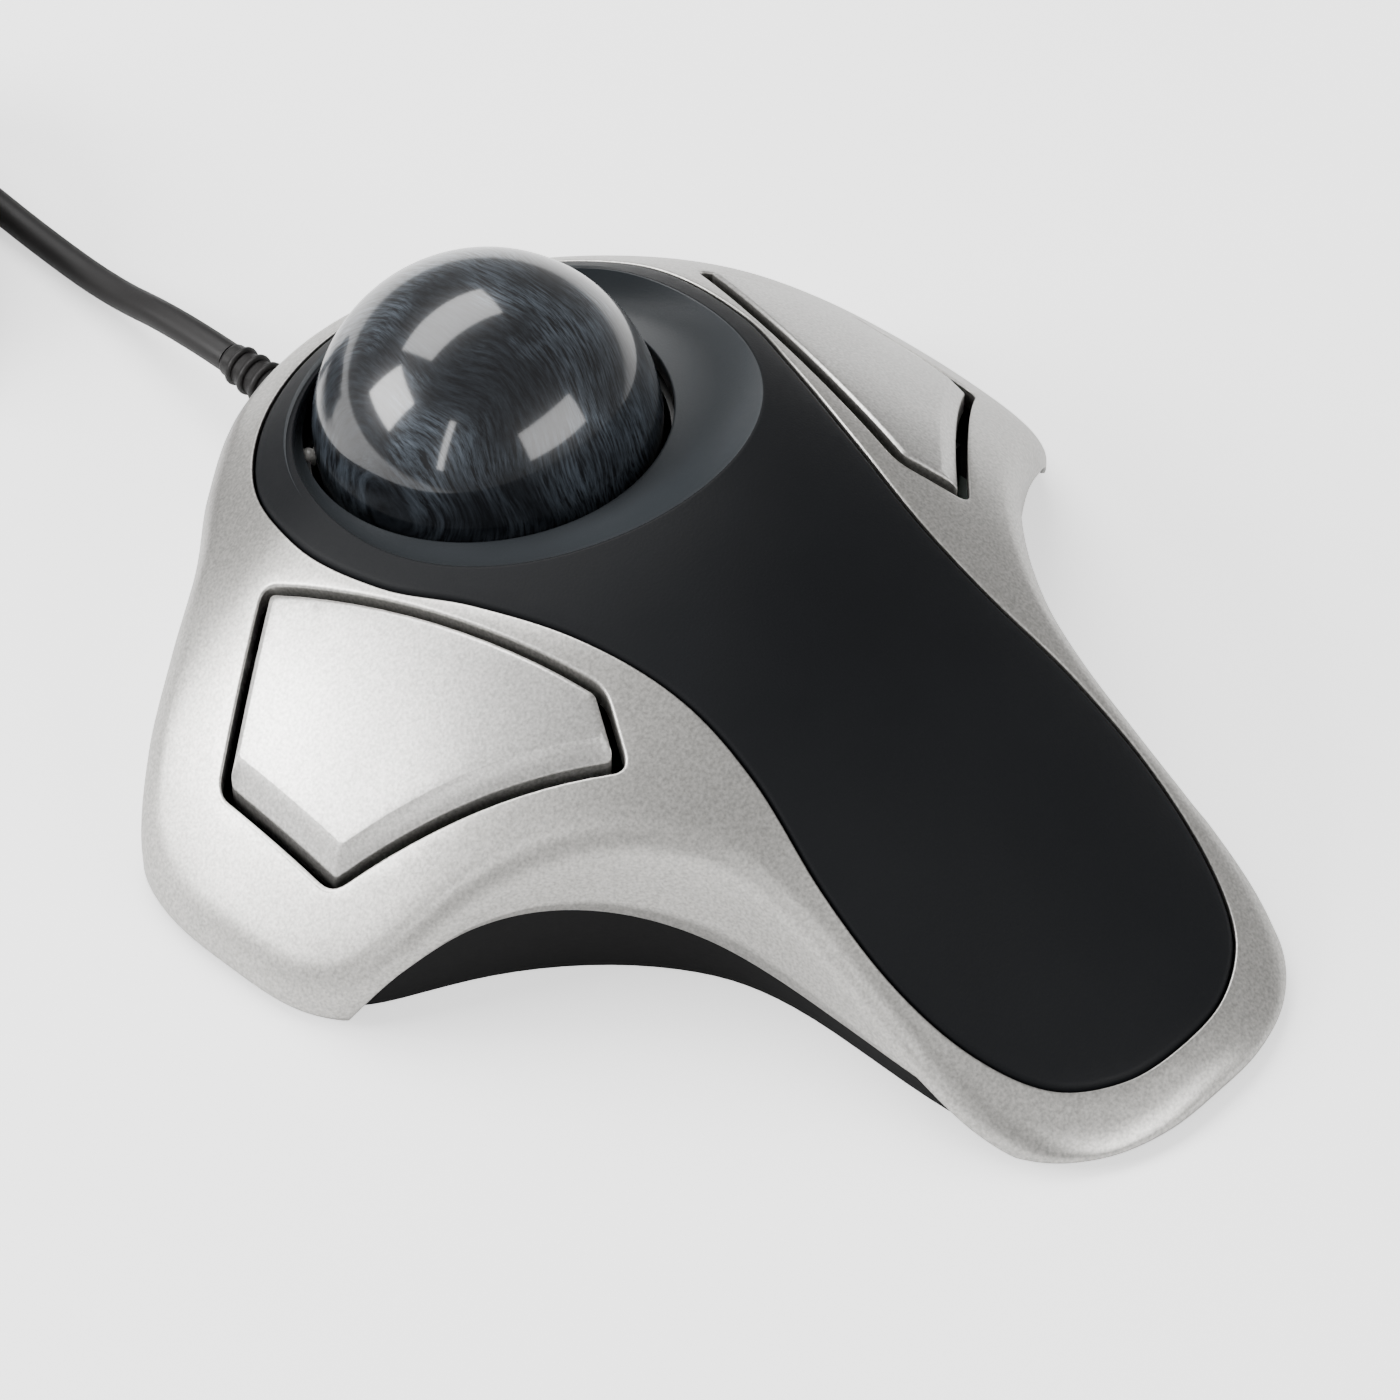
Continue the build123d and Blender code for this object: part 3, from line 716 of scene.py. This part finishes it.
crease = around(crease_point)
dish_rings = [around(lambda a, s=s: dish_point(a, s))
              for s in (0.98, 0.93, 0.85, 0.75, 0.6, 0.45, 0.3, 0.18, 0.08, 0.02, 0.0)]
collar = [around(lambda a, d=d: opening_point(a) + Vector((0, 0, -d))) for d in (0.25, 2.4)]
rim = opening_rings(lambda d: inset(panel_line, PANEL_GAP + d), panel_surface, PANEL_ROLL, 1.8)
shoulder = [Vector((p.x * SHOULDER, CREASE_CENTRE_Y + (p.y - CREASE_CENTRE_Y) * SHOULDER, 0))
            for p in crease]
shoulder = [Vector((p.x, p.y, panel_surface(p))) for p in shoulder]
panel_skin = fill(rim[0], [shoulder], panel_surface)
# the dish takes the lighter material, whose colour holds painted light as well as its satin finish
panel = piece("center_panel_skin", [(*panel_skin, 0), strip(rim), strip([shoulder, crease], 0),
                                    strip([crease] + dish_rings + collar, 1)],
              soft_touch, dish_satin_and_painted_light)
thicken(panel, PANEL_SKIN)
stands_for(panel, "center_panel", "housing")

# %% [markdown]
# Each button is a separate painted cap. It stands a little proud of the wing,
# with a wide bevel along the near and outer edges and a small one elsewhere.

# %% Buttons
BUTTON_GAP, BUTTON_PROUD, CAP_DEPTH = 1.3, 0.7, 3.0
BEVEL_WIDTH = (0.5, 0.5, 1.7, 1.8, 0.5)
BEVEL_DROP = (0.3, 0.3, 1.25, 1.35, 0.3)
CREASE_WIDTH = 0.14
CAP_CORNER, CAP_NET, CAP_KEEP_OFF = 0.55, 1.4, 0.6


def along_pentagon(side, values):
    """One value for each point of a pentagon, from one value for each edge."""
    spread_out = []
    for i, value in enumerate(values):
        before = values[i - 1]
        spread_out += [before + (value - before) * j / CORNER_POINTS
                       for j in range(1, CORNER_POINTS)]
        spread_out += [value] * (EDGE_POINTS + 1)
    return spread_out[::-1] if side > 0 else spread_out


def cap_ring(side, insets, drops):
    """A ring of the cap: moved in from the cap's edge and down from its top, edge by edge."""
    line = pentagon(side, [BUTTON_GAP + i for i in insets], CAP_CORNER)
    fall = along_pentagon(side, drops)
    return [Vector((p.x, p.y, height(p) + BUTTON_PROUD - d)) for p, d in zip(line, fall)]


for name, side in SIDES.items():
    inner = [w + CREASE_WIDTH for w in BEVEL_WIDTH]
    near_edge = [CREASE_WIDTH * 0.8] * 5
    slope = [d * (1 - 0.8 * CREASE_WIDTH / w) for d, w in zip(BEVEL_DROP, BEVEL_WIDTH)]
    rings = [cap_ring(side, inner, [0] * 5), cap_ring(side, BEVEL_WIDTH, [0.02] * 5),
             cap_ring(side, near_edge, slope)]
    rings += [cap_ring(side, [0] * 5, [d + e for d in BEVEL_DROP]) for e in (0.1, 0.3, CAP_DEPTH)]
    top = fill(rings[0], [], lambda p: height(p) + BUTTON_PROUD, CAP_NET, CAP_KEEP_OFF)
    bottom = (rings[-1], [list(range(len(rings[-1])))], 0)
    cap = piece(f"{name}_button_cap", [(*top, 0), strip(rings), bottom], button_silver)
    stands_for(cap, f"{name}_button", f"{name}_button")

# %% [markdown]
# The ball is cast resin with fine blue-grey pearl fibres swirled through a
# nearly black body, polished to a mirror under a clear layer. The fibres are
# noise stretched along one way, and bent by a slower noise.

# %% Ball
def pearl(name):
    """Dark resin with pearly fibres under a polished clear coat."""
    material, tree, shader = finish_nodes(name, Roughness=0.30, Coat_Weight=0.9,
                                          Coat_Roughness=0.09, Specular_IOR_Level=0.2)
    place = add(tree, "ShaderNodeTexCoord").outputs["Object"]
    centred = add(tree, "ShaderNodeMapping", [("Vector", place)])
    centred.inputs["Location"].default_value = -BALL * MM
    swirl = add(tree, "ShaderNodeTexNoise", [("Vector", centred.outputs[0])], Scale=38.0,
                Detail=2.0)
    bent = add(tree, "ShaderNodeVectorMath", operation="MULTIPLY_ADD",
               links=[(0, swirl.outputs["Color"]), (2, centred.outputs[0])])
    bent.inputs[1].default_value = (0.013, 0.013, 0.013)
    stretched = add(tree, "ShaderNodeMapping", [("Vector", bent.outputs[0])])
    stretched.inputs["Rotation"].default_value = (0.5, 0.35, -0.7)
    stretched.inputs["Scale"].default_value = (1.0, 0.12, 0.12)
    fibre = add(tree, "ShaderNodeTexNoise", [("Vector", stretched.outputs[0])], Scale=2600.0,
                Detail=5.0, Roughness=0.7)
    cloud = add(tree, "ShaderNodeTexNoise", [("Vector", bent.outputs[0])], Scale=62.0, Detail=3.0)
    streak = spread(tree, fibre.outputs[0], 0, 1, 0.40, 0.72)
    patch = spread(tree, cloud.outputs[0], 0.08, 0.9, 0.38, 0.64)
    glow = add(tree, "ShaderNodeMath", [(0, streak), (1, patch)], operation="MULTIPLY")
    tint = mix_colours(tree, glow.outputs[0], (0.0035, 0.0038, 0.0050), (0.19, 0.23, 0.28))
    tree.links.new(tint, shader.inputs["Base Color"])
    metal = spread(tree, glow.outputs[0], 0.15, 0.75, 0.0, 0.8)
    tree.links.new(metal, shader.inputs["Metallic"])
    return material


BALL_VISUAL_RADIUS = 19.98
mesh = bmesh.new()
bmesh.ops.create_icosphere(mesh, subdivisions=6, radius=BALL_VISUAL_RADIUS * MM)
bmesh.ops.translate(mesh, verts=mesh.verts, vec=BALL * MM)
for face in mesh.faces:
    face.smooth = True
ball = bpy.data.objects.new("ball", bpy.data.meshes.new("ball"))
mesh.to_mesh(ball.data)
mesh.free()
bpy.context.scene.collection.objects.link(ball)
pearl_resin = pearl("pearl_resin")
ball.data.materials.append(pearl_resin)
# the inner body turns about both axes, so the seen ball rolls every way
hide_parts("ball_coat", "ball_core")
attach(ball, "ball_inner")
print("ball", len(ball.data.polygons), "faces")

# %% [markdown]
# Four pan-head screws with a cross recess close the case from below. One screw
# is turned and recessed; the tree puts it on the four bosses.

# %% Case screws
screw_steel = moulded("screw_steel", (0.42, 0.42, 0.42), (0.58, 0.58, 0.57), (0.25, 0.4),
                      1800, 0.00002, Metallic=1.0)
HEAD_LOW, HEAD_RADIUS, HEAD_TALL, SHANK_RADIUS, SHANK_LONG = 0.9, 2.4, 0.9, 1.05, 6.5
THREADS, THREAD_PITCH, THREAD_ROOT = 9, 0.6, 0.82
thread = []
for turn in range(THREADS):
    low = HEAD_LOW + HEAD_TALL + THREAD_PITCH * (turn + 1)
    thread += [(THREAD_ROOT, low), (SHANK_RADIUS, low + 0.22), (SHANK_RADIUS, low + 0.32),
               (THREAD_ROOT, low + 0.54)]
shaft = [(0, HEAD_LOW), (1.9, HEAD_LOW), (2.25, HEAD_LOW + 0.16), (HEAD_RADIUS, HEAD_LOW + 0.45),
         (HEAD_RADIUS, HEAD_LOW + HEAD_TALL), (0.9, HEAD_LOW + HEAD_TALL)] + thread
screw = turned("screw", shaft + [(0.5, HEAD_LOW + HEAD_TALL + SHANK_LONG),
                                 (0, HEAD_LOW + HEAD_TALL + SHANK_LONG)], "Z", 24)
cross = bmesh.new()
for size in ((2.4, 0.6, 1.2), (0.6, 2.4, 1.2)):
    bar = bmesh.ops.create_cube(cross, size=1.0)["verts"]
    bmesh.ops.scale(cross, verts=bar, vec=Vector(size) * MM)
    bmesh.ops.translate(cross, verts=bar, vec=Vector((0, 0, HEAD_LOW)) * MM)
cutter = mesh_object("cutter", [])
cross.to_mesh(cutter.data)
cross.free()
cut = screw.modifiers.new("recess", "BOOLEAN")
cut.object, cut.solver, cut.use_self = cutter, "EXACT", True
screw.data = bpy.data.meshes.new_from_object(
    screw.evaluated_get(bpy.context.evaluated_depsgraph_get()))
screw.modifiers.clear()
bpy.data.objects.remove(cutter)
SCREW_SPOTS = [(-31.5, 47.5, 0), (31.5, 47.5, 0), (-12, -50, 0), (12, -50, 0)]
screws = repeated("screws", SCREW_SPOTS, screw, 1.0, screw_steel)
stands_for(screws, "case_screws", "housing")

# %% [markdown]
# The pieces that the frame already shapes well keep their shape and only get a
# finish: the base, the feet, the cup, the boards and the plug.

# %% Finishes of the frame's own pieces
finishes = {
    "foot_rubber": moulded("foot_rubber", (0.012, 0.012, 0.012), (0.022, 0.021, 0.021), (0.7, 0.85),
                           1500, 0.00008),
    "screw_steel": screw_steel,
    "cup_black": moulded("cup_black", (0.004, 0.004, 0.004), (0.009, 0.009, 0.009), (0.3, 0.4),
                         900, 0.00002),
    "bearing_white": moulded("bearing_white", (0.72, 0.70, 0.66), (0.86, 0.85, 0.82), (0.12, 0.2),
                             900, 0.00001),
    "board_green": moulded("board_green", (0.008, 0.05, 0.022), (0.012, 0.08, 0.035), (0.3, 0.45),
                           700, 0.00003),
    "chip_black": moulded("chip_black", (0.014, 0.014, 0.015), (0.024, 0.024, 0.025), (0.45, 0.6),
                          2600, 0.00003),
    "bright_metal": moulded("bright_metal", (0.62, 0.61, 0.59), (0.74, 0.73, 0.71), (0.16, 0.28),
                            1500, 0.00001, Metallic=1.0),
    "nylon_white": moulded("nylon_white", (0.66, 0.65, 0.60), (0.76, 0.75, 0.71), (0.4, 0.5),
                           800, 0.00002),
    "lens_clear": moulded("lens_clear", (0.55, 0.57, 0.58), (0.65, 0.67, 0.68), (0.05, 0.1),
                          500, 0.00001, Transmission_Weight=0.8),
    "tie_black": moulded("tie_black", (0.008, 0.008, 0.008), (0.014, 0.014, 0.014), (0.4, 0.5),
                         1400, 0.00002, Specular_IOR_Level=0.25),
    "plug_black": moulded("plug_black", (0.008, 0.008, 0.0085), (0.015, 0.015, 0.0155),
                          (0.42, 0.55), 2400, 0.00004, Specular_IOR_Level=0.25),
    "black_base": base_black, "cord_black": cord_vinyl, "soft_panel": soft_touch,
    "silver_shell": silver, "silver_button": button_silver, "ball_clear": pearl_resin,
    "ball_pearl": pearl_resin}
for row in frame["record"]["subparts"]:
    part = nodes[row["node"]]
    part.data.materials.clear()
    part.data.materials.append(finishes[row["material_slot"]])

# %% [markdown]
# The studio is a pale floor and soft boxes: a large one high behind the left
# wing, one overhead, a tall narrow one that draws the strip on the ball, and a
# weak fill from the user's side.

# %% Studio
def soft_box(name, place, target, width, depth, power):
    light = bpy.data.lights.new(name, "AREA")
    light.shape, light.size, light.size_y, light.energy = "RECTANGLE", width, depth, power
    made = bpy.data.objects.new(name, light)
    made.location = place
    made.rotation_euler = (Vector(place) - Vector(target)).to_track_quat("Z", "Y").to_euler()
    bpy.context.scene.collection.objects.link(made)


MIDDLE = (0, 0.01, 0.02)
soft_box("back_left_box", (-0.72, 0.62, 0.50), MIDDLE, 0.50, 0.45, 15.0)
soft_box("overhead_box", (0.10, 0.60, 0.85), MIDDLE, 0.95, 0.45, 14.0)
soft_box("strip_box", (-0.75, -0.16, 0.42), MIDDLE, 0.06, 0.5, 1.2)
soft_box("fill_box", (0.10, -0.95, 0.55), MIDDLE, 0.9, 0.4, 9.0)
world = bpy.data.worlds.new("studio")
bpy.context.scene.world = world
world.use_nodes = True
world.node_tree.nodes["Background"].inputs[0].default_value = (1, 1, 1, 1)
world.node_tree.nodes["Background"].inputs[1].default_value = 0.36
floor_mesh = bmesh.new()
bmesh.ops.create_grid(floor_mesh, x_segments=1, y_segments=1, size=6.0)
floor_data = bpy.data.meshes.new("floor")
floor_mesh.to_mesh(floor_data)
floor_mesh.free()
floor = bpy.data.objects.new("floor", floor_data)
bpy.context.scene.collection.objects.link(floor)
floor.location.z = -0.0003
pale_floor = moulded("pale_floor", (0.90, 0.90, 0.90), (0.93, 0.93, 0.93), (0.6, 0.7), 400,
                     0.00001, Emission_Color=(1, 1, 1, 1))
floor_tree = pale_floor.node_tree
seen = add(floor_tree, "ShaderNodeLightPath").outputs["Is Camera Ray"]
floor_tree.links.new(spread(floor_tree, seen, 0.05, 1.1, 0, 1),
                     floor_tree.nodes["Principled BSDF"].inputs["Emission Strength"])
floor_data.materials.append(pale_floor)
